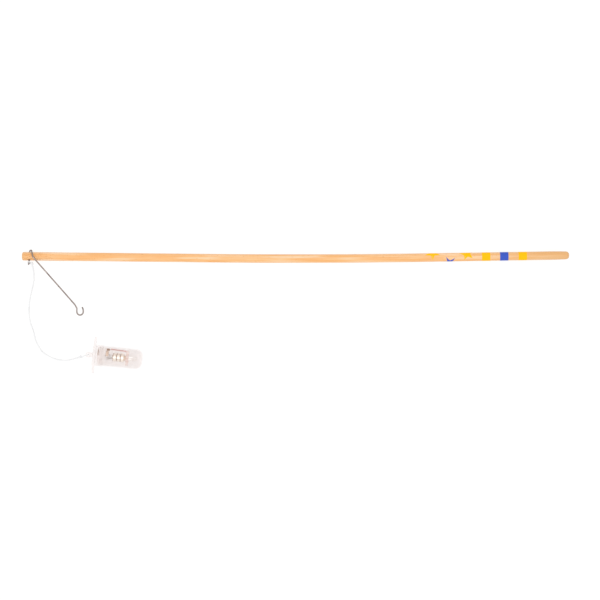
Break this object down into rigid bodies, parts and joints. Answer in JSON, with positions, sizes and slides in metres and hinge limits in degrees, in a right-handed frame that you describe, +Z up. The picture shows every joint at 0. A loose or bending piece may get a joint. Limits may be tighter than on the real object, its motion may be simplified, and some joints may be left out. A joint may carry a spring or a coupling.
{
  "type": "lantern stick",
  "caption": "Lantern stick: bowed beech dowel with printed bands and stars, swinging wire hook and a small clear battery lamp on a short cord.",
  "frame": {"origin": "on the table, under the middle of the box round the stick, hook and lamp", "axes": "+X along the stick towards its grip end, +Y from the lamp towards the stick, +Z up from the table"},
  "size_m": [0.52, 0.1179, 0.0202],
  "materials": {
    "beech": "matte",
    "spring_steel": "satin",
    "white_cord": "matte",
    "clear_plastic": "gloss",
    "frosted_plastic": "satin",
    "bronze": "satin",
    "cell_steel": "satin",
    "resistor_body": "satin",
    "red_insulation": "gloss",
    "seat_plastic": "satin",
    "led_resin": "gloss",
    "tinned_wire": "satin",
    "yellow_print": "satin",
    "blue_print": "satin"
  },
  "bodies": {
    "stick": {"dowel": "beech", "cord": "white_cord", "hook_loop": "white_cord", "hook_knot": "white_cord", "lamp_loop": "white_cord", "lamp_knot": "white_cord"},
    "hook": {"hook_wire": "spring_steel"},
    "cap": {"wing_cap": "clear_plastic", "switch_bridge": "bronze"},
    "barrel": {"carrier": "frosted_plastic", "cell_1": "cell_steel", "cell_2": "cell_steel", "cell_3": "cell_steel", "cell_spring": "spring_steel", "end_contact": "bronze", "far_contact": "bronze", "resistor": "resistor_body", "red_lead": "red_insulation", "led_seat": "seat_plastic", "led": "led_resin", "led_leads": "tinned_wire"},
    "lens": {"lens": "clear_plastic"}
  },
  "joints": [
    {"name": "hook_swing", "type": "hinge", "parent": "stick", "child": "hook", "pos_m": [-0.2528, 0.05233, 0.004], "axis": [0, -0.8829, 0.4695], "range_deg": [0, 56]},
    {"name": "lamp_swing", "type": "hinge", "parent": "stick", "child": "cap", "pos_m": [-0.1963, -0.0411, 0.0101], "axis": [0, 0, 1], "range_deg": [-60, 60]},
    {"name": "switch_turn", "type": "hinge", "parent": "cap", "child": "barrel", "pos_m": [-0.1963, -0.0411, 0.0101], "axis": [0.9957, -0.0924, 0], "range_deg": [0, 90]},
    {"name": "lens_pull", "type": "slide", "parent": "barrel", "child": "lens", "axis": [0.9957, -0.0924, 0], "range_m": [0, 0.034]}
  ]
}
